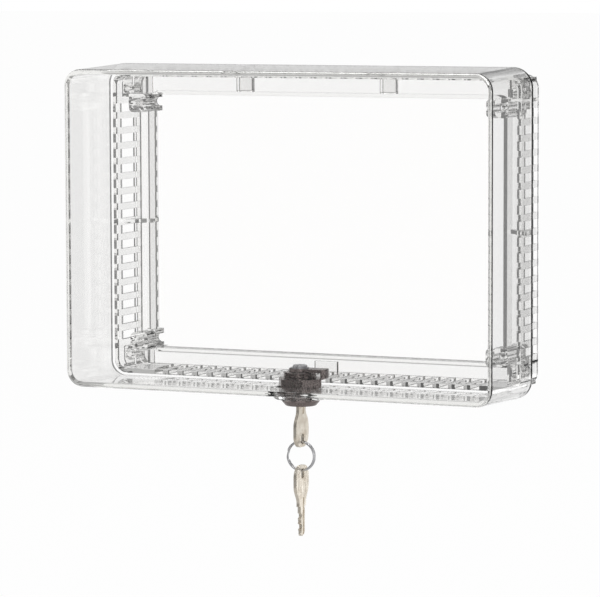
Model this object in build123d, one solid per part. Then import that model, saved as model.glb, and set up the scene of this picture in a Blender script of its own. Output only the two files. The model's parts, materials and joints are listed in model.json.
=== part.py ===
from build123d import *
import os
from math import cos, pi, radians, sin, tan

# Clear lock box that screws over a wall thermostat.
#
# Frame: +X right, +Z up, +Y into the wall.  The origin is the centre of the
# base's back face, on the wall plane, so everything in front has negative Y.

os.makedirs("parts", exist_ok=True)

# ---------------------------------------------------------------- sizes, mm
# clear cover: an open-backed shell that widens a little towards its rim
cover_width = 216.0
cover_height = 150.0
cover_depth = 47.7
cover_wall = 2.4
cover_draft_deg = 2.0
cover_corner_radius = 8.0
cover_front_edge_radius = 1.4
overall_depth = 70.0

# clear base: a vented ring with an inner flange round a large window
base_wall = 2.3
base_overlap = 4.0          # how far the ring nests inside the cover
base_gap_sides = 3.2        # between the cover's rim and the ring, left and right
base_gap_ends = 1.5         # the same at the top and the bottom
base_corner_radius = 6.5
flange_thickness = 2.4
flange_standoff = 5.1       # hollow between the flange and the wall plane
flange_width_sides = 11.2
flange_width_ends = 9.0
lip_thickness = 1.8         # raised edge round the window
lip_height = 6.8

# vents through the four walls of the base
side_vent_count = 16
side_vent_pitch = 7.35
side_vent_width = 4.2
end_vent_count = 22
end_vent_pitch = 7.8
end_vent_width = 4.4
vent_front_band = 0.6       # solid wall between the cover's rim and a vent
vent_rear_band = 1.5        # solid rim left against the wall

# corner columns that take the mounting screws: a tall inner block and a lower
# outer one that fills the ring's corner
screw_inset_x = 12.7657       # from the ring's outer sides
screw_inset_z = 15.0657       # from its outer ends
screw_hole_radius = 2.2
screw_boss_radius = 4.15
column_inner_inset_x = 16.5657   # faces of the inner block, from the ring's outer sides and ends
column_inner_inset_z = 19.5657
column_outer_inset_x = 7.3657
column_outer_inset_z = 10.7657
column_front = -24.0
corner_block_inset_x = 8.8657    # inner faces of the outer block, from the same
corner_block_inset_z = 12.3657
corner_block_front = -21.0
corner_hole_inset_x = 5.1657
corner_hole_inset_z = 8.3657
corner_hole_radius = 1.3
corner_hole_depth = 8.0
column_skin = 1.5
column_corner_radius = 2.2

# gussets half way up the sides
gusset_thickness = 1.8
gusset_setback = 5.0

# two catches under the base's top wall, and the cover's hooks that reach over
# that wall and down behind them
catch_spacing = 74.0
catch_width = 8.0
catch_height = 7.0
catch_thickness = 2.0
catch_setback = 5.8
hook_thickness = 1.8
hook_gap = 0.6              # catch to hook
hook_width = 7.0
hook_root = 2.0             # how far the hook's arm runs into the cover's rim
hook_slot_clearance = 0.3
hook_slot_swing = 3.5       # room behind the hook for the cover's swing

# lock, upright in the cover's bottom wall
lock_axis_from_rim = 16.5
lock_pad_thickness = 3.0
lock_pad_radius = 13.0
lock_floor_thickness = 3.8  # left under the nut's recess
nut_recess_radius = 11.4
barrel_radius = 7.8
barrel_flat_half = 6.9
barrel_length = 12.7
head_radius = 9.0
head_lower_radius = 7.3
head_height = 3.3
head_taper_start = 1.3
nut_across_flats = 19.0
nut_height = 5.0
nut_chamfer = 0.6
thread_clearance = 0.03
hole_clearance = 0.15
washer_radius = 10.2
washer_thickness = 0.8

# plug that the key turns
plug_radius = 5.45
plug_running_gap = 0.05
plug_head_radius = 6.6
plug_head_height = 1.3
drive_square = 6.4
drive_height = 1.6

# flat key
key_thickness = 1.6
blade_width = 4.8
blade_length = 13.8
blade_tip_length = 2.0
blade_tip_inset = 1.4
bow_width = 14.0
bow_length = 16.5
bow_neck_length = 3.0
bow_neck_width = 7.4
bow_full_length = 11.5      # full width, from the foot to the shoulders
bow_foot_radius = 5.5
bow_shoulder_radius = 7.0
bow_neck_radius = 5.0
bow_hole_length = 5.0
bow_hole_radius = 1.8
bow_hole_edge = 1.3         # metal left beyond the ring hole
key_clearance = 0.12
key_shoulder_gap = 0.3
key_overlap = 2.0           # how far the drawn shapes of a key run into each other

# disc tumblers in the plug and their springs
wafer_count = 4
wafer_pitch = 2.6
wafer_first_offset = 3.6    # from the plug's face to the first tumbler
wafer_thickness = 1.0
wafer_width = 6.8
wafer_slot_clearance = 0.08
wafer_window_clearance = 0.25
wafer_lug_width = 1.1
wafer_lug_height = 1.2
cut_depths = (1.3, 0.5, 1.7, 0.9)
cut_land_margin = 0.15
cut_slope = 0.55            # half width gained for each unit of depth
wafer_lug_root = 0.5
wafer_lug_travel = 1.0
wafer_groove_depth = 1.1
wafer_groove_front = 2.5    # from the plug's face to the barrel's grooves
wafer_groove_rear = 1.2
spring_wire_width = 0.26
spring_segments = 8         # straight runs to a turn
spring_coil_radius = 0.42
spring_turns = 5
spring_length = 2.6

# cam, its screw and washer
cam_length = 13.6
cam_width = 8.0
cam_eye_radius = 5.2
cam_thickness = 1.6
cam_tip_drop = 2.8
cam_drive_clearance = 0.05
cam_screw_head_radius = 3.4
cam_screw_head_height = 1.1
cam_screw_slot_width = 0.9
cam_screw_slot_depth = 0.7
cam_screw_slot_reach = 2.7
cam_screw_end_gap = 0.4
cam_screw_shank_radius = 1.6
cam_screw_length = 2.4
cam_washer_radius = 4.2
cam_washer_thickness = 0.5
cam_washer_clearance = 0.2

# strike on the base that the cam's tip turns behind
strike_gap = 0.8
strike_thickness = 1.2
strike_half_width = 2.8
guard_tab_left = 1.0
guard_tab_right = 12.5
guard_tab_height = 7.6
guard_tab_thickness = 1.8

# split ring and spare key
ring_radius = 6.8
ring_wire_width = 1.0
ring_wire_bevel = 0.28
ring_pitch = 1.08           # one layer of the ring to the other
ring_seat = 1.2             # middle of the wire above the end of a bow's hole
ring_jog_angle = 30.0       # stretch where the wire steps to the next layer
ring_end_gap_angle = 4.0
ring_jog_start = 165.0      # on the left, clear of both keys

# ------------------------------------------------------------ worked out
cover_front = -overall_depth
cover_rim = cover_front + cover_depth
cover_draft = tan(radians(cover_draft_deg))
rim_half_width = cover_width / 2 + cover_depth * cover_draft
rim_half_height = cover_height / 2 + cover_depth * cover_draft
base_half_width = rim_half_width - cover_wall - base_gap_sides
base_half_height = rim_half_height - cover_wall - base_gap_ends
base_front = cover_rim - base_overlap
flange_front = -flange_standoff - flange_thickness
window_half_width = base_half_width - base_wall - flange_width_sides
window_half_height = base_half_height - base_wall - flange_width_ends
base_floor = -base_half_height + base_wall
screw_spacing_x = 2 * (base_half_width - screw_inset_x)
screw_spacing_z = 2 * (base_half_height - screw_inset_z)
column_inner_x = base_half_width - column_inner_inset_x
column_inner_z = base_half_height - column_inner_inset_z
column_outer_x = base_half_width - column_outer_inset_x
column_outer_z = base_half_height - column_outer_inset_z
corner_block_x = base_half_width - corner_block_inset_x
corner_block_z = base_half_height - corner_block_inset_z
corner_hole_x = base_half_width - corner_hole_inset_x
corner_hole_z = base_half_height - corner_hole_inset_z
lock_y = cover_rim - lock_axis_from_rim
wall_low = -(cover_height / 2 + (lock_y - cover_front) * cover_draft)
pad_low = wall_low - lock_pad_thickness
seat_high = pad_low + lock_floor_thickness
barrel_top = pad_low + barrel_length
head_low = pad_low - head_height
nut_low = seat_high + washer_thickness
drive_top = barrel_top + drive_height
bore_radius = plug_radius + plug_running_gap
blade_top = head_low + blade_length
bow_bottom = head_low - key_shoulder_gap - bow_neck_length - bow_length
hole_low = bow_bottom + bow_hole_edge
cam_low = barrel_top
cam_top = cam_low + cam_thickness
ring_centre_z = hole_low + ring_seat - ring_radius


# ---------------------------------------------------------------- helpers
def save(shape, name):
    """Write one sub-part to its own file, under its own name."""
    shape.label = name
    export_step(shape, f"parts/{name}.step")
    return shape


def block(x0, x1, y0, y1, z0, z1):
    """Box between two corners."""
    solid = Box(x1 - x0, y1 - y0, z1 - z0)
    return Pos((x0 + x1) / 2, (y0 + y1) / 2, (z0 + z1) / 2) * solid


def upright(radius, z0, z1, x=0, y=0):
    """Cylinder along Z between two heights."""
    return Pos(x, y, (z0 + z1) / 2) * Cylinder(radius, z1 - z0)


def towards_wall(radius, y0, y1, x, z):
    """Cylinder along Y between two depths."""
    return Pos(x, (y0 + y1) / 2, z) * Rot(X=90) * Cylinder(radius, y1 - y0)


def facing_front(sketch, y):
    """Lay a sketch drawn in X and Z on the plane at depth y, extruding into the wall."""
    return Plane(origin=(0, y, 0), x_dir=(-1, 0, 0), z_dir=(0, 1, 0)) * sketch


def tray(half_width, half_height, radius, y0, y1, draft_deg=0.0):
    """Rounded rectangular block from y0 to y1 that grows with draft."""
    outline = RectangleRounded(2 * half_width, 2 * half_height, radius)
    return extrude(facing_front(outline, y0), amount=y1 - y0, taper=-draft_deg)


def centred(count, pitch):
    """Positions of a row of copies about zero."""
    return [(i - (count - 1) / 2) * pitch for i in range(count)]


# ---------------------------------------------------------------- cover
def lock_hole(z0, z1):
    """Hole with two flats, so that the barrel can't turn in the cover."""
    bore = upright(barrel_radius + hole_clearance, z0, z1, 0, lock_y)
    half = barrel_flat_half + hole_clearance
    reach = 2 * barrel_radius
    return bore & block(-half, half, lock_y - reach, lock_y + reach, z0, z1)


def catch_rear():
    """Depth of the back of the base's catches."""
    return base_front + catch_setback + catch_thickness


def catch_low():
    """Height of the underside of the base's catches."""
    return base_half_height - base_wall - catch_height


def hook(x):
    """Arm over the base's top wall that turns down behind a catch."""
    x0, x1 = x - hook_width / 2, x + hook_width / 2
    arm_low = rim_half_height - cover_wall
    arm_top = arm_low + hook_thickness
    front = catch_rear() + hook_gap
    rear = front + hook_thickness
    arm = block(x0, x1, cover_rim - hook_root, rear, arm_low, arm_top)
    return arm + block(x0, x1, front, rear, catch_low(), arm_top)


def make_cover():
    half_width, half_height = cover_width / 2, cover_height / 2
    outside = tray(half_width, half_height, cover_corner_radius, cover_front, cover_rim, cover_draft_deg)
    outside = fillet(outside.faces().sort_by(Axis.Y)[0].edges(), cover_front_edge_radius)
    inset = cover_wall * (1 - cover_draft)
    inside_front = cover_front + cover_wall
    inside = tray(
        half_width - inset, half_height - inset, cover_corner_radius - cover_wall,
        inside_front, cover_rim + 1, cover_draft_deg,
    )
    pad = upright(lock_pad_radius, pad_low, seat_high, 0, lock_y)
    pad = chamfer(pad.edges().sort_by(Axis.Z)[0], cover_wall / 4)
    recess = upright(nut_recess_radius, seat_high, seat_high + 2 * cover_wall, 0, lock_y)
    shell = outside - inside + pad - recess
    for x in (-catch_spacing / 2, catch_spacing / 2):
        shell += hook(x)
    return shell - lock_hole(pad_low - 1, seat_high + 1)


# ---------------------------------------------------------------- base
def column(inset, y1):
    """Inner and outer block of the upper right column, inset from their own faces."""
    x_wall = base_half_width - base_wall / 2
    z_wall = base_half_height - base_wall / 2
    inner = block(
        column_inner_x + inset, column_outer_x - inset, column_front + inset, y1,
        column_inner_z + inset, column_outer_z - inset,
    )
    upright_edges = inner.edges().filter_by(Axis.Y).sort_by(lambda e: e.center().X + e.center().Z)
    inner = fillet(upright_edges[:3], column_corner_radius - inset)
    outer = block(
        corner_block_x + inset, x_wall, corner_block_front + inset, y1,
        corner_block_z + inset, z_wall,
    )
    return inner + outer


def at_corners(solid):
    """The upper right solid and its three mirror images."""
    right = [solid, mirror(solid, Plane.XY)]
    return right + [mirror(piece, Plane.YZ) for piece in right]


def hollow_column(hollow):
    """Upper right column, open at the back, with a tube round its screw hole."""
    screw_x, screw_z = screw_spacing_x / 2, screw_spacing_z / 2
    core = column(column_skin, 1) & hollow
    core -= towards_wall(screw_boss_radius, column_front, 0, screw_x, screw_z)
    tube_radius = corner_hole_radius + column_skin
    tube_rear = corner_block_front + corner_hole_depth + column_skin
    core -= towards_wall(tube_radius, corner_block_front, tube_rear, corner_hole_x, corner_hole_z)
    return column(0, 0) - core


def column_holes():
    """Screw hole right through the upper right column and the blind hole beside it."""
    screw_x, screw_z = screw_spacing_x / 2, screw_spacing_z / 2
    through = towards_wall(screw_hole_radius, column_front - 1, 1, screw_x, screw_z)
    bottom = corner_block_front + corner_hole_depth
    blind = towards_wall(corner_hole_radius, corner_block_front - 1, bottom, corner_hole_x, corner_hole_z)
    return through + blind


def vents():
    """Slots through all four walls of the ring."""
    y0 = cover_rim + vent_front_band
    y1 = -vent_rear_band
    slots = []
    for z in centred(side_vent_count, side_vent_pitch):
        for s in (-1, 1):
            x0, x1 = sorted((s * (base_half_width - base_wall - 0.01), s * (base_half_width + 1)))
            slots.append(block(x0, x1, y0, y1, z - side_vent_width / 2, z + side_vent_width / 2))
    for x in centred(end_vent_count, end_vent_pitch):
        for s in (-1, 1):
            z0, z1 = sorted((s * (base_half_height - base_wall - 0.01), s * (base_half_height + 1)))
            slots.append(block(x - end_vent_width / 2, x + end_vent_width / 2, y0, y1, z0, z1))
    return slots


def hook_slot(x):
    """Opening in the ring's top wall that a hook comes down and swings through."""
    half = hook_width / 2 + hook_slot_clearance
    rear = catch_rear() + hook_gap + hook_thickness + hook_slot_swing
    inner_face = base_half_height - base_wall
    return block(x - half, x + half, catch_rear(), rear, inner_face - 0.01, base_half_height + 1)


def gusset(side):
    """Triangular web between a side wall and the flange, half way up."""
    x_wall = base_half_width - base_wall / 2
    x_in = window_half_width
    y_top = base_front + gusset_setback
    half = gusset_thickness / 2
    web = Polyline((x_wall, y_top), (x_wall, flange_front), (x_in, flange_front), close=True)
    solid = extrude(Plane.XY.offset(-half) * make_face(web), amount=2 * half)
    return mirror(solid, Plane.YZ) if side < 0 else solid


def catches():
    """Two short walls inside the ring's top, with the round feet that the cover's hooks turn on."""
    y0 = base_front + catch_setback
    top = base_half_height - base_wall / 2
    pieces = []
    for x in (-catch_spacing / 2, catch_spacing / 2):
        half = catch_width / 2
        wall = block(x - half, x + half, y0, catch_rear(), catch_low() + catch_thickness / 2, top)
        foot = Pos(x, y0 + catch_thickness / 2, catch_low() + catch_thickness / 2)
        pieces.append(wall + foot * Rot(Y=90) * Cylinder(catch_thickness / 2, catch_width))
    return pieces


def strike():
    """Nose that the cam's tip turns behind, and the guard tab beside it."""
    tip_inner = cam_length - cam_thickness
    nose_rear = lock_y + tip_inner - strike_gap
    nose_front = nose_rear - strike_thickness
    nose_top = cam_low - strike_gap
    half = strike_half_width
    nose = block(-half, half, nose_front, nose_rear, -base_half_height, nose_top)
    bridge = block(-half, half, nose_front, base_front + base_wall, -base_half_height, base_floor)
    tab_y = max(base_front, lock_y + cam_length + strike_gap)
    tab = block(
        guard_tab_left, guard_tab_right, tab_y, tab_y + guard_tab_thickness,
        base_floor - base_wall / 2, base_floor + guard_tab_height,
    )
    return nose + bridge + tab


def make_base():
    outside = tray(base_half_width, base_half_height, base_corner_radius, base_front, 0)
    inner_w, inner_h = base_half_width - base_wall, base_half_height - base_wall
    hollow = tray(inner_w, inner_h, base_corner_radius - base_wall, base_front - 1, 1)
    ring = outside - hollow
    ring -= vents()
    plate = tray(inner_w + base_wall / 2, inner_h + base_wall / 2, base_corner_radius - base_wall / 2,
                 flange_front, flange_front + flange_thickness)
    lip = tray(window_half_width + lip_thickness, window_half_height + lip_thickness,
               base_corner_radius, flange_front - lip_height, flange_front + flange_thickness / 2)
    window = tray(window_half_width, window_half_height, base_corner_radius - lip_thickness,
                  flange_front - lip_height - 1, 1)
    body = ring + (plate + lip - window)
    body += at_corners(hollow_column(hollow))
    for side in (-1, 1):
        body += gusset(side)
    body += catches()
    body += strike()
    for x in (-catch_spacing / 2, catch_spacing / 2):
        body -= hook_slot(x)
    return body - at_corners(column_holes())


# ---------------------------------------------------------------- lock
def make_lock_body():
    barrel = upright(barrel_radius, pad_low, barrel_top, 0, lock_y)
    reach = 2 * barrel_radius
    flats = block(-barrel_flat_half, barrel_flat_half, lock_y - reach, lock_y + reach, pad_low, barrel_top)
    taper = Pos(0, lock_y, 0) * revolve(
        Plane.XZ * make_face(
            Polyline(
                (0, pad_low), (head_radius, pad_low), (head_radius, pad_low - head_taper_start),
                (head_lower_radius, head_low), (0, head_low), close=True,
            )
        ),
        Axis.Z,
    )
    body = (barrel & flats) + taper
    body -= upright(bore_radius, head_low - 1, barrel_top + 1, 0, lock_y)
    body -= upright(plug_head_radius + plug_running_gap, head_low - 1, head_low + plug_head_height, 0, lock_y)
    groove_half = wafer_width / 2 + wafer_slot_clearance
    reach_y = plug_radius + wafer_groove_depth
    groove_low = head_low + wafer_groove_front
    groove_high = barrel_top - wafer_groove_rear
    y0, y1 = lock_y - reach_y, lock_y + reach_y
    return body - block(-groove_half, groove_half, y0, y1, groove_low, groove_high)


def make_lock_nut():
    hexagon = RegularPolygon(nut_across_flats / 2, 6, major_radius=False)
    body = Pos(0, lock_y, nut_low) * extrude(hexagon, amount=nut_height)
    corner = nut_across_flats / 2 / cos(pi / 6)
    cone = upright(corner + nut_chamfer, nut_low, nut_low + nut_height, 0, lock_y)
    cone = chamfer(cone.edges().filter_by(GeomType.CIRCLE), 2 * nut_chamfer)
    hole = upright(barrel_radius + thread_clearance, nut_low - 1, nut_low + nut_height + 1, 0, lock_y)
    return (body & cone) - hole


def make_lock_washer():
    ring = upright(washer_radius, seat_high, nut_low, 0, lock_y)
    hole = lock_hole(seat_high - 1, nut_low + 1)
    return ring - hole


def wafer_heights():
    """Underside of each tumbler."""
    return [head_low + wafer_first_offset + i * wafer_pitch for i in range(wafer_count)]


def blade_half():
    return blade_width / 2


def make_plug():
    plug = upright(plug_radius, head_low, cam_low, 0, lock_y)
    plug += upright(plug_head_radius, head_low, head_low + plug_head_height - plug_running_gap, 0, lock_y)
    half = drive_square / 2
    plug += block(-half, half, lock_y - half, lock_y + half, cam_low - drive_height, drive_top)
    slot_x = key_thickness / 2 + key_clearance
    slot_y = blade_half() + key_clearance
    plug -= block(-slot_x, slot_x, lock_y - slot_y, lock_y + slot_y, head_low - 1, blade_top + key_clearance)
    for low in wafer_heights():
        plug -= wafer_slot(low)
        plug -= spring_pocket(low)
    screw_low = drive_top - cam_screw_length - cam_screw_end_gap
    return plug - upright(cam_screw_shank_radius, screw_low, drive_top + 1, 0, lock_y)


def wafer_slot(low):
    half = wafer_width / 2 + wafer_slot_clearance
    gap = wafer_slot_clearance
    reach = 2 * plug_radius
    return block(-half, half, lock_y - reach, lock_y + reach, low - gap, low + wafer_thickness + gap)


def lug_x():
    """Middle of the lug on a tumbler's side, over its spring."""
    return wafer_width / 2 + wafer_lug_width / 2


def spring_pocket(low):
    """Pocket beside a tumbler for its lug and its spring, along Y."""
    gap = wafer_slot_clearance
    x0 = wafer_width / 2 - wafer_lug_root
    x1 = wafer_width / 2 + wafer_lug_width + gap
    y1 = lock_y + wafer_lug_height + wafer_lug_travel
    y0 = lock_y - spring_length - gap
    middle = low + wafer_thickness / 2
    half = max(spring_coil_radius + spring_wire_width / 2, wafer_thickness / 2) + gap
    return block(x0, x1, y0, y1, middle - half, middle + half)


def make_wafer(low):
    """Plate with a window that lets the whole blade by, and a lug for its spring."""
    round_plug = upright(plug_radius, low, low + wafer_thickness, 0, lock_y)
    half = wafer_width / 2
    high = low + wafer_thickness
    plate = round_plug & block(-half, half, lock_y - plug_radius, lock_y + plug_radius, low, high)
    lug_root = half - wafer_lug_root
    lug_tip = half + wafer_lug_width
    lug = block(lug_root, lug_tip, lock_y, lock_y + wafer_lug_height, low, high)
    gap = wafer_window_clearance
    window_x = key_thickness / 2 + gap
    window_y = blade_half() + gap
    window = block(-window_x, window_x, lock_y - window_y, lock_y + window_y, low - 1, high + 1)
    return plate + lug - window


def make_wafer_spring(low):
    """Small coil spring of square wire between a tumbler's lug and the end of its pocket."""
    rise = (spring_length - spring_wire_width) / (spring_turns * spring_segments)
    points = []
    for i in range(spring_turns * spring_segments + 1):
        angle = 2 * pi * i / spring_segments
        points.append((spring_coil_radius * cos(angle), spring_coil_radius * sin(angle), i * rise))
    path = Polyline(points)
    section = Plane(origin=points[0], z_dir=path % 0) * Rectangle(spring_wire_width, spring_wire_width)
    coil = sweep(section, path=path, transition=Transition.RIGHT)
    place = Pos(lug_x(), lock_y - spring_length + spring_wire_width / 2, low + wafer_thickness / 2)
    return place * Rot(X=-90) * coil


# ---------------------------------------------------------------- cam
def make_cam():
    """Flat cam at rest along +X, with its tip bent down."""
    bar = block(0, cam_length, lock_y - cam_width / 2, lock_y + cam_width / 2, cam_low, cam_top)
    bar += upright(cam_eye_radius, cam_low, cam_top, 0, lock_y)
    tip_half = cam_width / 2
    tip = block(cam_length - cam_thickness, cam_length, lock_y - tip_half, lock_y + tip_half,
                cam_low - cam_tip_drop, cam_top)
    limit = upright(cam_length, cam_low - cam_tip_drop - 1, cam_top + 1, 0, lock_y)
    cam = (bar + tip) & limit
    half = drive_square / 2 + cam_drive_clearance
    return cam - block(-half, half, lock_y - half, lock_y + half, cam_low - 1, cam_top + 1)


def make_cam_washer():
    ring = upright(cam_washer_radius, drive_top, drive_top + cam_washer_thickness, 0, lock_y)
    hole_radius = cam_screw_shank_radius + cam_washer_clearance
    return ring - upright(hole_radius, drive_top - 1, drive_top + cam_washer_thickness + 1, 0, lock_y)


def make_cam_screw():
    """Pan-head screw with a cross recess."""
    seat = drive_top + cam_washer_thickness
    top = seat + cam_screw_head_height
    head = upright(cam_screw_head_radius, seat, top, 0, lock_y)
    head = chamfer(head.edges().sort_by(Axis.Z)[-1], cam_screw_head_height / 3)
    reach = cam_screw_slot_reach
    half = cam_screw_slot_width / 2
    low = top - cam_screw_slot_depth
    cross = block(-reach, reach, lock_y - half, lock_y + half, low, top + 1)
    cross += block(-half, half, lock_y - reach, lock_y + reach, low, top + 1)
    shank = upright(cam_screw_shank_radius - thread_clearance, drive_top - cam_screw_length, seat, 0, lock_y)
    return head - cross + shank


# ---------------------------------------------------------------- keys
def key_bow():
    """Bow with a round foot and sloping shoulders that run into the neck."""
    half, neck_half = bow_width / 2, bow_neck_width / 2
    top = bow_length + bow_neck_length
    bow = make_face(
        Polyline(
            (half, 0), (half, bow_full_length), (neck_half, bow_length), (neck_half, top),
            (-neck_half, top), (-neck_half, bow_length), (-half, bow_full_length), (-half, 0), close=True,
        )
    )
    for level, radius in ((2, bow_neck_radius), (1, bow_shoulder_radius), (0, bow_foot_radius)):
        bow = fillet(bow.vertices().group_by(Axis.Y)[level], radius)
    return bow


def key_outline():
    """Bow, neck and bitted blade, drawn with the blade up and the bow's foot at zero."""
    blade_low = bow_length + bow_neck_length + key_shoulder_gap
    tip = blade_low + blade_length
    bow = key_bow()
    half = blade_half()
    root = blade_low - key_overlap
    taper = tip - blade_tip_length
    blade = make_face(
        Polyline(
            (-half, root), (-half, taper), (-half + blade_tip_inset, tip),
            (half - blade_tip_inset, tip), (half, taper), (half, root), close=True,
        )
    )
    cuts = []
    for depth, low in zip(cut_depths, wafer_heights()):
        middle = blade_low + (low - head_low) + wafer_thickness / 2
        land = wafer_thickness / 2 + cut_land_margin
        rise = depth * cut_slope
        cuts.append(
            make_face(
                Polyline(
                    (-half - 0.01, middle - land - rise), (-half + depth, middle - land),
                    (-half + depth, middle + land), (-half - 0.01, middle + land + rise),
                    (-half - 1, middle + land + rise), (-half - 1, middle - land - rise), close=True,
                )
            )
        )
    hole = Pos(0, bow_hole_edge + bow_hole_length / 2) * SlotCenterToCenter(
        bow_hole_length - 2 * bow_hole_radius, 2 * bow_hole_radius, rotation=90
    )
    return bow + blade - cuts - hole


def make_key():
    """Key with its blade up, in the plane x = 0, centred on the lock's axis."""
    flat = extrude(key_outline(), amount=key_thickness / 2, both=True)
    stand = Plane(origin=(0, lock_y, bow_bottom), x_dir=(0, 1, 0), z_dir=(1, 0, 0))
    return stand * flat


def ring_section():
    """Bevelled square wire, drawn in the half plane that the ring's turns are revolved from."""
    square = Pos(ring_radius, 0) * Rectangle(ring_wire_width, ring_wire_width)
    return chamfer(square.vertices(), ring_wire_bevel)


def ring_layer(start_angle, sweep_angle, height):
    """One flat stretch of the ring, about the Z axis."""
    turn = revolve(Plane.XZ * ring_section(), Axis.Z, sweep_angle)
    return Pos(0, 0, height) * Rot(Z=start_angle) * turn


def ring_jog():
    """Stretch where the wire steps from the lower layer to the upper one."""
    jog = radians(ring_jog_angle)
    middle = (ring_radius * cos(jog / 2), ring_radius * sin(jog / 2), 0)
    end = (ring_radius * cos(jog), ring_radius * sin(jog), ring_pitch / 2)
    step = Spline(
        (ring_radius, 0, -ring_pitch / 2), middle, end, tangents=((0, 1, 0), (-sin(jog), cos(jog), 0))
    )
    bent = sweep(Plane.XZ * Pos(0, -ring_pitch / 2) * ring_section(), path=step, binormal=(0, 0, 1))
    return Rot(Z=ring_jog_start) * bent


def make_key_ring():
    """Split ring: a wire wound twice, its layers side by side along Y."""
    arc = 360 - ring_jog_angle - ring_end_gap_angle
    lower = ring_layer(ring_jog_start - arc, arc, -ring_pitch / 2)
    upper = ring_layer(ring_jog_start + ring_jog_angle, arc, ring_pitch / 2)
    coil = lower + ring_jog() + upper
    return Pos(0, lock_y, ring_centre_z) * Rot(X=-90) * coil


def make_spare_key():
    """The second key, hanging bow up from the foot of the ring."""
    return mirror(make_key(), Plane(origin=(0, 0, ring_centre_z), z_dir=(0, 0, 1)))


if __name__ == "__main__":
    save(make_cover(), "cover")
    save(make_base(), "base")
    save(make_lock_body(), "lock_body")
    save(make_lock_nut(), "lock_nut")
    save(make_lock_washer(), "lock_washer")
    save(make_plug(), "lock_plug")
    for number, low in enumerate(wafer_heights(), start=1):
        save(make_wafer(low), f"wafer_{number}")
        save(make_wafer_spring(low), f"wafer_spring_{number}")
    save(make_cam(), "cam")
    save(make_cam_washer(), "cam_washer")
    save(make_cam_screw(), "cam_screw")
    save(make_key(), "key")
    save(make_key_ring(), "key_ring")
    save(make_spare_key(), "spare_key")
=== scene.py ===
# %% [markdown]
# # A clear lock box for a wall thermostat
#
# The box is two clear mouldings.  A vented base screws to the wall round the
# thermostat, and an open-backed cover hooks over its top and locks under its
# bottom.  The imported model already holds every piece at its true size, so this
# lesson dresses it: rounded edges, threads, keys, finishes, light and camera.

import json
from math import cos, radians, sin, tau

import bmesh
import bpy
from mathutils import Matrix, Vector

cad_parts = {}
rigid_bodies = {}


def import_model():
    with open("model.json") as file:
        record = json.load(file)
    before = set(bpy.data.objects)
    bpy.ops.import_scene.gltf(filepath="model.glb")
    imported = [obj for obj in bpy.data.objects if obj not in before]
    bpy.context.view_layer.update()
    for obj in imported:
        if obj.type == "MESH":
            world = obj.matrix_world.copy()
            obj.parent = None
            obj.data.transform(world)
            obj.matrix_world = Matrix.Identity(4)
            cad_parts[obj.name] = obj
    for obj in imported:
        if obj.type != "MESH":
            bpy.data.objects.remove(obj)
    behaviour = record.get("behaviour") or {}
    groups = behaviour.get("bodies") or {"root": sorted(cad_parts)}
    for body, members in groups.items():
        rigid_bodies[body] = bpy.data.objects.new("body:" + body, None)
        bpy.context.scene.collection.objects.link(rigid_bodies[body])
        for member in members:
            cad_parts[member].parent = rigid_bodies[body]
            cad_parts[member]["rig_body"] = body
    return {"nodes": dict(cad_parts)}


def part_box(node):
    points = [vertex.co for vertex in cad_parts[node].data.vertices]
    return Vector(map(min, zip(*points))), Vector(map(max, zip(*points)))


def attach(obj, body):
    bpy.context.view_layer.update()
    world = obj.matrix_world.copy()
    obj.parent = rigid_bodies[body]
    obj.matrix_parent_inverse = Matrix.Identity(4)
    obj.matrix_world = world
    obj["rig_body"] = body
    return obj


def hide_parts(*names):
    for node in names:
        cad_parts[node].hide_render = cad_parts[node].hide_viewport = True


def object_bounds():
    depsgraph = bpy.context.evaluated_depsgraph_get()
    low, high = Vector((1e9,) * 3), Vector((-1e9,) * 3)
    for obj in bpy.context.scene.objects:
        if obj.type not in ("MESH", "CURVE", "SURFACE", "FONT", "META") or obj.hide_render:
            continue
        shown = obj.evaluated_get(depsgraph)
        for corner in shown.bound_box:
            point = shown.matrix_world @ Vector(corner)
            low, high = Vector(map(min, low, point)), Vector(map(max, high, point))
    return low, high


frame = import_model()
nodes = frame["nodes"]
cad_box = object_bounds()
mm = 0.001
link = bpy.context.scene.collection.objects.link
print("model box, mm:", [[round(c / mm, 1) for c in corner] for corner in cad_box])


# %% [markdown]
# Measures that several pieces share are read from the model's own boxes, so
# that a change in the model's size carries through to everything made here.

# %% Shared places
lock_low, lock_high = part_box("lock_body")
lock_axis = Vector(((lock_low.x + lock_high.x) / 2, (lock_low.y + lock_high.y) / 2, 0))
base_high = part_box("base")[1]
ring_low, ring_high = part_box("key_ring")
ring_centre = (ring_low + ring_high) / 2
print("lock axis, mm:", round(lock_axis.x / mm, 2), round(lock_axis.y / mm, 2))


# %% [markdown]
# ## Camera
#
# A long lens from about a metre and a half keeps the box's sides nearly
# parallel.  The camera stands to the right of the box and a little above it.

# %% Camera
camera_place = Vector((0.67835, -1.53790, 0.12605))
camera_yaw = radians(24.357)
camera_pitch = radians(5.490)
camera_roll = radians(-0.172)
lens_length = 211.7


def aim_camera():
    forward = Vector(
        (-sin(camera_yaw) * cos(camera_pitch), cos(camera_yaw) * cos(camera_pitch), -sin(camera_pitch))
    )
    level = Vector((cos(camera_yaw), sin(camera_yaw), 0))
    upright = level.cross(forward)
    right = level * cos(camera_roll) + upright * sin(camera_roll)
    up = upright * cos(camera_roll) - level * sin(camera_roll)
    data = bpy.data.cameras.new("camera")
    data.lens = lens_length
    data.clip_start = 0.05
    data.clip_end = 50
    camera = bpy.data.objects.new("camera", data)
    link(camera)
    turn = Matrix((right, up, -forward)).transposed().to_4x4()
    camera.matrix_world = Matrix.Translation(camera_place) @ turn
    bpy.context.scene.camera = camera
    return camera


camera = aim_camera()
print("camera is", round((camera.location - ring_centre).length, 2), "m from the key ring")


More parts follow.
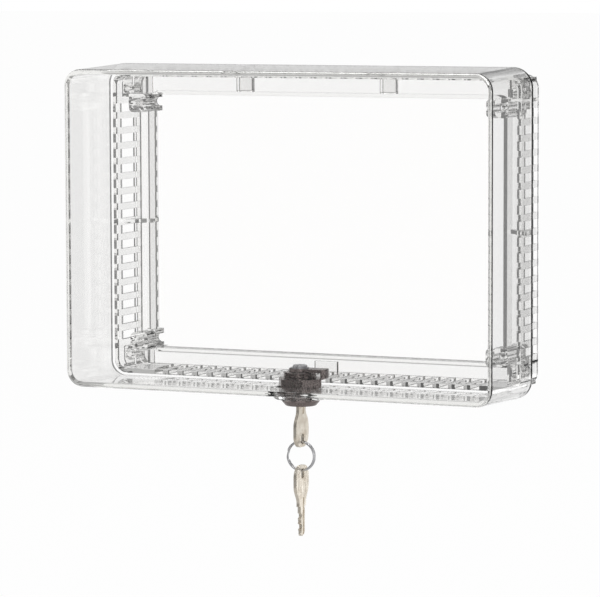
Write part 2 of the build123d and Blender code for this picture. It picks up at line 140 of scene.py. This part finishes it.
# %% [markdown]
# ## Writing shader maths as Python
#
# A material is a graph of nodes.  Wrapping each output socket in a small class
# lets `1 - mask * 0.5` add the Math nodes for it, so a finish reads like the
# sum that it is.  Every other node comes from one method, `Finish.node`.

# %% Wire and Finish
class Wire:
    """One number coming out of a node, ready to be used in a sum."""

    def __init__(self, finish, socket):
        self.finish = finish
        self.socket = socket

    def maths(self, operation, first, second=0.0):
        sockets = {0: first, 1: second}
        return self.finish.node("Math", {"operation": operation}, sockets)

    def __add__(self, other):
        return self.maths("ADD", self, other)

    def __radd__(self, other):
        return self.maths("ADD", other, self)

    def __sub__(self, other):
        return self.maths("SUBTRACT", self, other)

    def __rsub__(self, other):
        return self.maths("SUBTRACT", other, self)

    def __mul__(self, other):
        return self.maths("MULTIPLY", self, other)

    def __rmul__(self, other):
        return self.maths("MULTIPLY", other, self)

    def __neg__(self):
        return self * -1.0

    def cosine(self):
        return self.maths("COSINE", self)

    def most(self, other):
        return self.maths("MAXIMUM", self, other)

    def ramp(self, low, high, out_low=0.0, out_high=1.0):
        """Smooth step from out_low below low to out_high above high."""
        sockets = {"Value": self, "From Min": low, "From Max": high, "To Min": out_low, "To Max": out_high}
        return self.finish.node("MapRange", {"interpolation_type": "SMOOTHSTEP"}, sockets)


class Finish:
    """A node tree, with one method that adds any node to it."""

    def __init__(self, tree):
        self.tree = tree
        tree.nodes.clear()

    def plug(self, target, value):
        if isinstance(value, Wire):
            self.tree.links.new(value.socket, target)
        elif isinstance(value, tuple) and len(value) == 3 and target.type == "RGBA":
            target.default_value = (*value, 1.0)
        else:
            target.default_value = value

    def node(self, kind, settings=None, sockets=None, out=0):
        made = self.tree.nodes.new("ShaderNode" + kind)
        for name, value in (settings or {}).items():
            setattr(made, name, value)
        for name, value in (sockets or {}).items():
            self.plug(made.inputs[name], value)
        return Wire(self, made.outputs[out])

    def blend(self, factor, first, second):
        """Colour that goes from first to second as factor goes from 0 to 1."""
        sockets = {0: factor, 6: first, 7: second}
        return self.node("Mix", {"data_type": "RGBA"}, sockets, out=2)

    def place(self):
        return self.node("TexCoord", out="Object")

    def stretched(self, scale):
        """Object coordinates, scaled along each axis."""
        return self.node("Mapping", None, {"Vector": self.place(), "Scale": scale})

    def noise(self, scale, detail=4.0, stretch=None, roughness=0.55):
        """Noise value; scale counts its features to a metre."""
        where = self.stretched(stretch) if stretch else self.place()
        sockets = {"Vector": where, "Scale": scale, "Detail": detail, "Roughness": roughness}
        return self.node("TexNoise", None, sockets, out="Fac")

    def bump(self, height, distance, strength=1.0):
        sockets = {"Height": height, "Distance": distance, "Strength": strength}
        return self.node("Bump", None, sockets)

    def worn_edge(self, radius, low=0.02, high=0.25):
        """About 1 on sharp outer edges and 0 on flat faces."""
        soft = self.node("Bevel", {"samples": 4}, {"Radius": radius})
        hard = self.node("NewGeometry", out="Normal")
        same = self.node("VectorMath", {"operation": "DOT_PRODUCT"}, {0: soft, 1: hard}, out="Value")
        return (1 - same).ramp(low, high)

    def surface(self, shader, volume=None):
        output = self.tree.nodes.new("ShaderNodeOutputMaterial")
        self.plug(output.inputs["Surface"], shader)
        if volume:
            self.plug(output.inputs["Volume"], volume)


def new_material(name):
    material = bpy.data.materials.new(name)
    material.use_nodes = True
    return material, Finish(material.node_tree)


# %% [markdown]
# ## The room round the box
#
# Clear plastic shows almost nothing of its own.  What draws its edges is the
# contrast in the room that they bend light from.  The room here is white
# straight ahead, grey overhead, darker underfoot, and has four dark strips
# between the box's own directions, like black cloth hung beside glassware.  The
# strips fade out before they can meet straight up or down.  The lens itself sees
# plain white.

# %% Studio surround
strip_angle = radians(67.5)
strip_depth = 0.80
strip_edges = (0.05, 0.65)
strip_fade = (0.35, 0.65)     # how steeply up or down the strips fade out
overhead_grey = 0.50
overhead_edges = (0.0, 0.13)
underfoot_grey = 0.55
underfoot_edges = (-0.75, -0.35)
backdrop_gain = 1.09


def room_glow(finish, direction):
    """Brightness of the room in a direction."""
    split = finish.tree.nodes.new("ShaderNodeSeparateXYZ")
    finish.plug(split.inputs[0], direction)
    x, y, z = (Wire(finish, socket) for socket in split.outputs)
    turn = x.maths("ARCTAN2", -x, y)
    strips = ((turn - strip_angle) * 4.0).cosine().ramp(*strip_edges, 0.0, strip_depth)
    strips = strips * z.maths("ABSOLUTE", z).ramp(*strip_fade, 1.0, 0.0)
    overhead = z.ramp(*overhead_edges, 1.0, overhead_grey)
    underfoot = z.ramp(*underfoot_edges, underfoot_grey, 1.0)
    return (1 - strips) * overhead * underfoot * backdrop_gain


def make_world():
    world = bpy.data.worlds.new("room")
    bpy.context.scene.world = world
    world.use_nodes = True
    finish = Finish(world.node_tree)
    seen = finish.node("LightPath", out="Is Camera Ray")
    glow = room_glow(finish, finish.node("TexCoord", out="Generated"))
    strength = seen + (1 - seen) * glow
    shader = finish.node("Background", None, {"Color": (1.0, 1.0, 1.0), "Strength": strength})
    output = world.node_tree.nodes.new("ShaderNodeOutputWorld")
    finish.plug(output.inputs["Surface"], shader)


make_world()

# %% [markdown]
# The floor is plain and pale, some way below the hanging keys.  The lens sees
# it as the same white as the room and the clear plastic sees the room's own
# pattern in it; the rest of the light in the scene sees a matt floor, which
# keeps a faint shadow.

# %% Floor
floor_drop = 0.16
floor_half = 25.0
floor_colour = (0.86, 0.86, 0.86)
floor_whiteness = 0.97


def make_floor():
    height = cad_box[0].z - floor_drop
    corners = [(x, y, height) for x, y in ((-1, -1), (1, -1), (1, 1), (-1, 1))]
    mesh = bpy.data.meshes.new("floor")
    mesh.from_pydata([(x * floor_half, y * floor_half, z) for x, y, z in corners], [], [(0, 1, 2, 3)])
    floor = bpy.data.objects.new("floor", mesh)
    link(floor)
    material, finish = new_material("pale_floor")
    speckle = finish.noise(140.0).ramp(0.3, 0.7, 0.97, 1.0)
    shade = finish.blend(speckle, (0.8, 0.8, 0.8), floor_colour)
    matt = finish.node("BsdfDiffuse", None, {"Color": shade})
    path = finish.tree.nodes.new("ShaderNodeLightPath")
    seen = Wire(finish, path.outputs["Is Camera Ray"])
    mirrored = Wire(finish, path.outputs["Is Glossy Ray"])
    through = Wire(finish, path.outputs["Is Transmission Ray"])
    where = finish.node("NewGeometry", out="Position")
    away = finish.node("VectorMath", {"operation": "NORMALIZE"}, {0: where})
    strength = seen + (1 - seen) * room_glow(finish, away)
    white = finish.node("Emission", None, {"Color": (1.0, 1.0, 1.0), "Strength": strength})
    factor = seen.most(mirrored).most(through) * floor_whiteness
    finish.surface(finish.node("MixShader", None, {0: factor, 1: matt, 2: white}))
    mesh.materials.append(material)
    return floor


floor = make_floor()

# %% [markdown]
# Three large mild soft boxes give the metal and the dark lock their shapes.  A
# small card stands low behind to the right, where only the flat faces of the
# hanging keys mirror it, and nothing bright stands where their narrow edges
# look, so those stay dark.

# %% Lamps
lamps = {
    "key_lamp": ((0.25, -1.2, 1.8), 1.2, 1.2, 13.0),
    "fill_lamp": ((1.6, -0.7, 0.5), 0.8, 1.2, 5.0),
    "key_card": ((0.33, 0.70, -0.255), 0.32, 0.13, 0.18),
    "back_lamp": ((-0.3, 1.4, 1.1), 1.4, 0.5, 4.0),
}


def make_lamp(name, place, width, height, power):
    data = bpy.data.lights.new(name, "AREA")
    data.shape = "RECTANGLE"
    data.size = width
    data.size_y = height
    data.energy = power
    lamp = bpy.data.objects.new(name, data)
    link(lamp)
    lamp.location = place
    lamp.rotation_euler = (-Vector(place)).to_track_quat("-Z", "Y").to_euler()
    return lamp


for name, settings in lamps.items():
    make_lamp(name, *settings)
print("lamps:", len(lamps))


# %% [markdown]
# ## Finishes

# %% Clear plastic
plastic_tint = (0.985, 0.983, 0.980)
plastic_ior = 1.49
absorb_tint = (0.69, 0.69, 0.655)
absorb_density = 10.0


def clear_plastic():
    """Polished clear moulding: hardly any tint through a wall, a warm grey along one."""
    material, finish = new_material("clear_plastic")
    haze = finish.noise(60.0, 3.0).ramp(0.45, 0.8, 0.0, 0.035)
    scuffs = finish.noise(900.0, 2.0, (1.0, 0.15, 6.0)).ramp(0.66, 0.74, 0.0, 0.05)
    flow = finish.noise(35.0, 1.0)
    shader = finish.node(
        "BsdfPrincipled",
        None,
        {
            "Base Color": plastic_tint,
            "Roughness": haze + scuffs,
            "IOR": plastic_ior,
            "Transmission Weight": 1.0,
            "Normal": finish.bump(flow, 0.00005, 0.1),
        },
    )
    volume = finish.node("VolumeAbsorption", None, {"Color": absorb_tint, "Density": absorb_density})
    finish.surface(shader, volume)
    return material


plastic = clear_plastic()


# %% Black lock and cam, and bright metals
def black_metal(name, colour, worn_colour, roughness, edge=0.00012):
    """Satin black over zinc, rubbed a little lighter along its edges."""
    material, finish = new_material(name)
    wear = finish.worn_edge(edge) * finish.noise(1500.0, 3.0).ramp(0.4, 0.65)
    mottle = finish.noise(700.0).ramp(0.3, 0.7, -0.05, 0.08)
    grain = finish.noise(9000.0, 2.0)
    shader = finish.node(
        "BsdfPrincipled",
        None,
        {
            "Base Color": finish.blend(wear, colour, worn_colour),
            "Roughness": mottle + roughness,
            "Metallic": 0.75 + wear * 0.2,
            "Normal": finish.bump(grain, 0.00002, 0.35),
        },
    )
    finish.surface(shader)
    return material


def bright_metal(name, colour, dark_colour, roughness, stretch, edge=0.00015):
    """Bare metal with fine rubbing marks drawn out along one axis."""
    material, finish = new_material(name)
    rubbed = finish.noise(1400.0, 5.0, stretch, 0.7)
    dull = finish.noise(260.0, 3.0).ramp(0.35, 0.75)
    wear = finish.worn_edge(edge)
    body = finish.blend(dull, colour, dark_colour)
    shader = finish.node(
        "BsdfPrincipled",
        None,
        {
            "Base Color": finish.blend(wear * 0.6, body, tuple(min(1.0, c * 1.25) for c in colour)),
            "Roughness": rubbed.ramp(0.3, 0.75, roughness - 0.08, roughness + 0.12) + dull * 0.06,
            "Metallic": 1.0,
            "Normal": finish.bump(rubbed, 0.00003, 0.3),
        },
    )
    finish.surface(shader)
    return material


lock_black = black_metal("lock_black", (0.22, 0.185, 0.178), (0.50, 0.46, 0.45), 0.25)
screw_zinc = bright_metal("screw_zinc", (0.62, 0.62, 0.63), (0.42, 0.42, 0.44), 0.28, (1.0, 1.0, 0.3))
key_nickel = bright_metal("key_nickel", (0.86, 0.80, 0.70), (0.70, 0.62, 0.51), 0.34, (1.0, 1.0, 0.08))
ring_nickel = bright_metal("ring_nickel", (0.62, 0.62, 0.63), (0.48, 0.48, 0.50), 0.16, (1.0, 0.2, 1.0))
wafer_brass = bright_metal("wafer_brass", (0.80, 0.62, 0.33), (0.60, 0.44, 0.21), 0.30, (1.0, 0.1, 1.0))
spring_steel = bright_metal("spring_steel", (0.60, 0.60, 0.60), (0.45, 0.45, 0.46), 0.25, (1.0, 0.2, 1.0))


# %% Finishes on the model's own pieces
def paint(node, material):
    mesh = nodes[node].data
    mesh.materials.clear()
    mesh.materials.append(material)
    mesh.shade_smooth()
    mesh.set_sharp_from_angle(angle=radians(28))


finish_of = {
    "lock_body": lock_black,
    "lock_nut": lock_black,
    "lock_washer": lock_black,
    "lock_plug": lock_black,
    "cam": lock_black,
    "cam_washer": screw_zinc,
    "cam_screw": screw_zinc,
    "key": key_nickel,
    "spare_key": key_nickel,
    "key_ring": ring_nickel,
    "cover": plastic,
    "base": plastic,
}
for node in nodes:
    if node.startswith("wafer_spring"):
        finish_of[node] = spring_steel
    elif node.startswith("wafer"):
        finish_of[node] = wafer_brass
for node, material in finish_of.items():
    paint(node, material)


# %% [markdown]
# ## Rounded edges
#
# Neither a mould nor a press leaves a knife edge.  Each piece is copied from
# the model and every sharp edge gets a small rounded corner.  On the clear
# mouldings that corner bends the light of the room and draws the box, and on
# the metal it catches the lamps.  Normals are weighted towards the large
# faces, so that the flat walls stay optically flat.


def stand_in(name, mesh, node):
    """Put a mesh in the scene in a node's place and on its body, and hide the node."""
    piece = bpy.data.objects.new(name, mesh)
    link(piece)
    mesh.shade_smooth()
    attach(piece, nodes[node]["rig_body"])
    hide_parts(node)
    return piece


def plain_copy(node):
    """A node's mesh with its flat faces whole again and no stored normals."""
    mesh = nodes[node].data.copy()
    mesh.name = node + "_shape"
    work = bmesh.new()
    work.from_mesh(mesh)
    bmesh.ops.remove_doubles(work, verts=work.verts, dist=1e-6)
    bmesh.ops.dissolve_limit(work, angle_limit=radians(0.4), verts=work.verts, edges=work.edges)
    work.to_mesh(mesh)
    work.free()
    for layer in ("custom_normal", "sharp_edge"):
        if layer in mesh.attributes:
            mesh.attributes.remove(mesh.attributes[layer])
    return mesh


def soften(piece, width, segments):
    edge = piece.modifiers.new("edge", "BEVEL")
    edge.width = width
    edge.segments = segments
    edge.limit_method = "ANGLE"
    edge.angle_limit = radians(32)
    flat = piece.modifiers.new("flat", "WEIGHTED_NORMAL")
    flat.mode = "FACE_AREA"
    flat.weight = 100


def bar(name, lower, upper):
    """Plain box between two corners, to cut with."""
    ends = list(zip(lower, upper))
    corners = [(x, y, z) for x in ends[0] for y in ends[1] for z in ends[2]]
    faces = [(0, 1, 3, 2), (4, 6, 7, 5), (0, 4, 5, 1), (2, 3, 7, 6), (0, 2, 6, 4), (1, 5, 7, 3)]
    mesh = bpy.data.meshes.new(name)
    mesh.from_pydata(corners, [], faces)
    cutter = bpy.data.objects.new(name, mesh)
    link(cutter)
    return cutter


def cut_away(piece, cutters):
    """Cut the boxes out of a piece's own mesh and drop them."""
    for cutter in cutters:
        cut = piece.modifiers.new("cut", "BOOLEAN")
        cut.operation = "DIFFERENCE"
        cut.solver = "EXACT"
        cut.object = cutter
    bpy.context.view_layer.update()
    shaped = bpy.data.meshes.new_from_object(piece.evaluated_get(bpy.context.evaluated_depsgraph_get()))
    shaped.name = piece.data.name
    piece.modifiers.clear()
    piece.data = shaped
    for cutter in cutters:
        bpy.data.objects.remove(cutter, do_unlink=True)


window_half = Vector((90.6, 0, 61.47)) * mm    # the window's edge, from its middle
boss_inner = Vector((86.0, 0, 52.0)) * mm      # just inside the columns' inner faces
boss_rear = -14.3 * mm                         # front of the window's lip


def open_window(piece):
    """Stop the columns' inner corners at the window's lip, clear of the opening."""
    cutters = []
    for sx in (-1, 1):
        for sz in (-1, 1):
            x0, x1 = sorted((sx * boss_inner.x, sx * window_half.x))
            z0, z1 = sorted((sz * boss_inner.z, sz * window_half.z))
            cutters.append(bar("opening", (x0, boss_rear, z0), (x1, base_high.y + mm, z1)))
    cut_away(piece, cutters)


edge_of = {
    "cover": (0.90, 4), "base": (0.30, 2),
    "lock_nut": (0.25, 2), "lock_washer": (0.15, 2), "lock_plug": (0.08, 2),
    "cam": (0.20, 2), "cam_washer": (0.08, 2), "cam_screw": (0.10, 2),
}
for node, (width, segments) in edge_of.items():
    piece = stand_in(node + "_soft", plain_copy(node), node)
    if node == "base":
        open_window(piece)
    soften(piece, width * mm, segments)


# %% [markdown]
# ## Pieces laid up from rings of points
#
# Turned and drawn pieces are all one idea: closed loops of points, one after
# another, with a skin of quads between them.

# %% Skins
def skin(name, loops, join_ends):
    """Mesh of quads between closed loops of points, capped unless its ends join."""
    count = len(loops[0])
    faces = []
    for i in range(len(loops) if join_ends else len(loops) - 1):
        here, there = i * count, (i + 1) % len(loops) * count
        for j in range(count):
            k = (j + 1) % count
            faces.append((here + j, here + k, there + k, there + j))
    if not join_ends:
        last = (len(loops) - 1) * count
        faces.append(tuple(range(count))[::-1])
        faces.append(tuple(last + j for j in range(count)))
    mesh = bpy.data.meshes.new(name)
    mesh.from_pydata([point for loop in loops for point in loop], [], faces)
    work = bmesh.new()
    work.from_mesh(mesh)
    bmesh.ops.recalc_face_normals(work, faces=work.faces)
    work.to_mesh(mesh)
    work.free()
    return mesh


# %% [markdown]
# The lock's barrel has a real thread, cut away where the barrel has its two
# flats.  The head below it is turned with a soft step, a rolled rim and a
# shallow dish round the plug.

# %% Lock body
barrel_radius = 7.8 * mm
barrel_flat_half = 6.9 * mm
bore_radius = 5.5 * mm
dish_radius = 6.65 * mm
dish_depth = 1.3 * mm
head_height = 3.3 * mm
thread_pitch = 1.0 * mm
thread_depth = 0.55 * mm
valley_half = 0.42          # of a pitch; what is left is the blunt crest
thread_start = 3.9 * mm     # above the head, where the seat ends
rim_share = 0.97            # the barrel's upper rim, drawn in by its chamfer
rim_chamfer = 0.1 * mm
barrel_columns = 144
thread_rows = 8             # rows of points to a pitch


def thread_radius(angle, height):
    """Radius of the threaded barrel, with its crests a little blunt."""
    phase = (height / thread_pitch - angle / tau) % 1.0
    valley = max(0.0, 1.0 - abs(phase - 0.5) / valley_half)
    return barrel_radius - thread_depth * valley


def barrel_loop(height, threaded):
    loop = []
    for j in range(barrel_columns):
        angle = tau * j / barrel_columns
        radius = thread_radius(angle, height) if threaded else barrel_radius
        radius = min(radius, barrel_flat_half / max(abs(cos(angle)), 0.01))
        loop.append((radius * cos(angle), lock_axis.y + radius * sin(angle), height))
    return loop


def turned_loop(radius, height):
    angles = (tau * j / barrel_columns for j in range(barrel_columns))
    return [(radius * cos(a), lock_axis.y + radius * sin(a), height) for a in angles]


def make_lock_body():
    low, high = lock_low.z, lock_high.z
    seat = low + head_height
    head = [
        (bore_radius, low + dish_depth), (dish_radius - 0.1 * mm, low + dish_depth),
        (dish_radius, low + dish_depth - 0.1 * mm), (dish_radius, low + 0.15 * mm),
        (dish_radius + 0.15 * mm, low), (7.05 * mm, low), (7.25 * mm, low + 0.08 * mm),
        (7.45 * mm, low + 0.25 * mm), (8.78 * mm, seat - 1.45 * mm), (8.94 * mm, seat - 1.2 * mm),
        (9.0 * mm, seat - 0.95 * mm), (9.0 * mm, seat - 0.2 * mm), (8.8 * mm, seat),
    ]
    loops = [turned_loop(radius, height) for radius, height in head]
    loops.append(barrel_loop(seat, False))
    loops.append(barrel_loop(seat + thread_start, False))
    steps = int((high - seat - thread_start) / thread_pitch * thread_rows)
    for i in range(1, steps):
        loops.append(barrel_loop(seat + thread_start + i * thread_pitch / thread_rows, True))
    loops.append(barrel_loop(high - rim_chamfer, False))
    rim = barrel_loop(high, False)
    middle = lock_axis.y
    loops.append([(x * rim_share, middle + (y - middle) * rim_share, high) for x, y, z in rim])
    loops.append(turned_loop(bore_radius, high))
    mesh = skin("lock_body_turned", loops, True)
    mesh.materials.append(lock_black)
    piece = stand_in("lock_body_turned", mesh, "lock_body")
    mesh.set_sharp_from_angle(angle=radians(35))
    return piece


make_lock_body()


# %% [markdown]
# The key ring is round spring wire wound twice, with a short step between its
# two turns and cut ends that lie flat against them.

# %% Split ring
wire_radius = 0.5 * mm
ring_radius = 6.8 * mm
ring_layer_half = 0.54 * mm
ring_step_start = radians(165)
ring_step = radians(30)
ring_gap = radians(4)
ring_stations = 150
wire_sides = 14
cut_end_share = 0.72        # of the wire's radius at its filed ends


def ring_point(turn):
    """Middle of the wire after a turn in radians, counted from the lower layer's end."""
    first = tau - ring_step - ring_gap
    share = min(max((turn - first) / ring_step, 0.0), 1.0)
    rise = share * share * (3 - 2 * share)
    angle = ring_step_start - first + turn
    centre = Vector((cos(angle), 0, -sin(angle))) * ring_radius
    layer = (2 * rise - 1) * ring_layer_half
    return ring_centre + centre + Vector((0, layer, 0))


def make_key_ring():
    length = 2 * (tau - ring_step - ring_gap) + ring_step
    loops = []
    for i in range(ring_stations + 1):
        turn = length * i / ring_stations
        middle = ring_point(turn)
        along = (ring_point(turn + 0.01) - ring_point(turn - 0.01)).normalized()
        outward = (middle - ring_centre).normalized()
        side = along.cross(outward).normalized()
        outward = side.cross(along)
        shrink = cut_end_share if i in (0, ring_stations) else 1.0
        loop = []
        for j in range(wire_sides):
            angle = tau * j / wire_sides
            offset = outward * cos(angle) + side * sin(angle)
            loop.append(middle + offset * wire_radius * shrink)
        loops.append(loop)
    mesh = skin("key_ring_wire", loops, False)
    mesh.materials.append(ring_nickel)
    return stand_in("key_ring_wire", mesh, "key_ring")


make_key_ring()

# %% [markdown]
# Each key keeps its outline from the model and gains the groove that is milled
# along both of its faces, and the soft edges that tumbling leaves.

# %% Keys
groove_half = 0.55 * mm
groove_depth = 0.35 * mm
groove_offset = 0.75 * mm   # towards the uncut edge of the blade
groove_runout = 4.0 * mm    # how far it runs up into the bow
key_edge = 0.18 * mm


def groove_cutter(node, side):
    """Long bar that leaves one groove in a face of a key."""
    low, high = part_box(node)
    bow_at_foot = node == "key"
    blade_end, bow_end = (high.z, low.z) if bow_at_foot else (low.z, high.z)
    shoulder = blade_end + (bow_end - blade_end) * 0.42
    stop = shoulder + (groove_runout if bow_end > blade_end else -groove_runout)
    z0, z1 = sorted((blade_end + (blade_end - bow_end) * 0.02, stop))
    face = high.x if side > 0 else low.x
    x0, x1 = sorted((face - side * groove_depth, face + side * groove_depth))
    middle = lock_axis.y + groove_offset
    y0, y1 = middle - groove_half, middle + groove_half
    return bar("groove", (x0, y0, z0), (x1, y1, z1))


def make_milled_key(node):
    piece = stand_in(node + "_milled", plain_copy(node), node)
    cut_away(piece, [groove_cutter(node, side) for side in (-1, 1)])
    soften(piece, key_edge, 2)
    return piece


for node in ("key", "spare_key"):
    make_milled_key(node)

# %% [markdown]
# ## Render settings

# %% Colour view and ray bounces
scene = bpy.context.scene
scene.view_settings.view_transform = "Standard"
scene.cycles.max_bounces = 24
scene.cycles.transmission_bounces = 24
scene.cycles.glossy_bounces = 12
scene.cycles.transparent_max_bounces = 24
